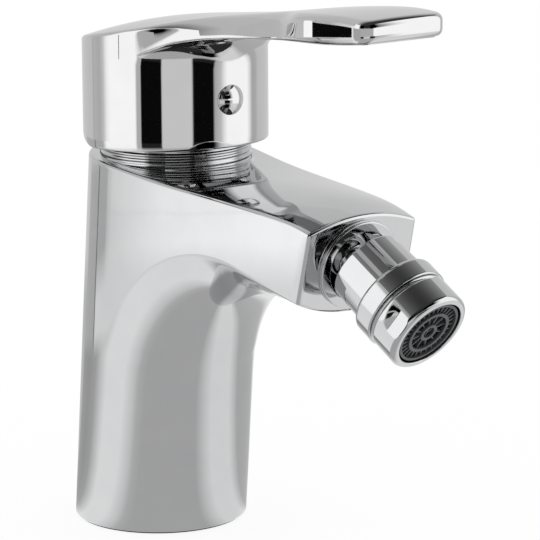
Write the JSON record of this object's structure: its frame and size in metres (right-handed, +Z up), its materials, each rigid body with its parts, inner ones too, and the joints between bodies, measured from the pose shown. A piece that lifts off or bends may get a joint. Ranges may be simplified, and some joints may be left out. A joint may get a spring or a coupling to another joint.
{
  "type": "bidet mixer",
  "caption": "Single-lever bidet mixer with a leaning round column, tapered spout, paddle lever and ball-jointed aerator outlet.",
  "frame": {"origin": "centre of the base ring, on the plane of the deck", "axes": "+X towards the spout and the lever's tip, +Z up, +Y to the left of someone facing along +X"},
  "size_m": [0.15, 0.0524, 0.1577],
  "materials": {
    "polished_chrome": "mirror-bright plating over brass",
    "lever_chrome": "mirror-bright plating over zinc",
    "swivel_chrome": "mirror-bright plating over brass",
    "ring_nut": "bright plated thread",
    "ball_chrome": "polished ball",
    "brass": "bare brass",
    "steel": "bright steel",
    "black_rubber": "matt black rubber",
    "clear_plastic": "natural white plastic",
    "grey_plastic": "mid grey plastic",
    "jet_grid": "dark grey plastic",
    "white_ceramic": "ground white ceramic"
  },
  "bodies": {
    "base": {"body": "polished_chrome", "hose_block": "brass", "base_seal": "black_rubber", "cartridge_nut": "ring_nut", "slide_washer": "clear_plastic", "cartridge_housing": "clear_plastic", "housing_seal": "black_rubber", "cartridge_base": "clear_plastic", "port_seals": "black_rubber", "fixed_disc": "white_ceramic", "swivel_adapter": "swivel_chrome", "ball_stud": "ball_chrome", "seat_washer": "black_rubber"},
    "mixing_guide": {"spindle_guide": "grey_plastic", "pivot_pin": "steel"},
    "lever_set": {"lever": "lever_chrome", "lever_bush": "grey_plastic", "spindle": "brass", "set_screw": "steel", "index_plug": "lever_chrome"},
    "disc_set": {"moving_disc": "white_ceramic", "disc_carrier": "grey_plastic"},
    "ball_seal_ring": {"ball_seal": "black_rubber"},
    "outlet": {"swivel_cup": "swivel_chrome", "swivel_collar": "swivel_chrome", "aerator_housing": "swivel_chrome", "aerator_gasket": "black_rubber", "aerator_insert": "jet_grid", "aerator_screen": "steel"}
  },
  "joints": [
    {"name": "temperature_turn", "type": "hinge", "parent": "base", "child": "mixing_guide", "pos_m": [0.0095, 0, 0.1], "axis": [0, 0, 1], "range_deg": [-45, 45]},
    {"name": "flow_lift", "type": "hinge", "parent": "mixing_guide", "child": "lever_set", "pos_m": [0.0095, 0, 0.116], "axis": [0, -1, 0], "range_deg": [0, 18]},
    {"name": "disc_travel", "type": "slide", "parent": "mixing_guide", "child": "disc_set", "axis": [1, 0, 0], "range_m": [0, 0.0061]},
    {"name": "outlet_turn", "type": "hinge", "parent": "base", "child": "ball_seal_ring", "pos_m": [0.09966, 0, 0.08667], "axis": [0.9703, 0, -0.2419], "continuous": true},
    {"name": "outlet_tilt", "type": "hinge", "parent": "ball_seal_ring", "child": "outlet", "pos_m": [0.09966, 0, 0.08667], "axis": [0.0695, 0.9578, 0.2788], "range_deg": [-39.1, 0.9]}
  ],
  "couplings": [
    {"joint": "disc_travel", "follows": "flow_lift", "m_per_rad": 0.01923}
  ]
}
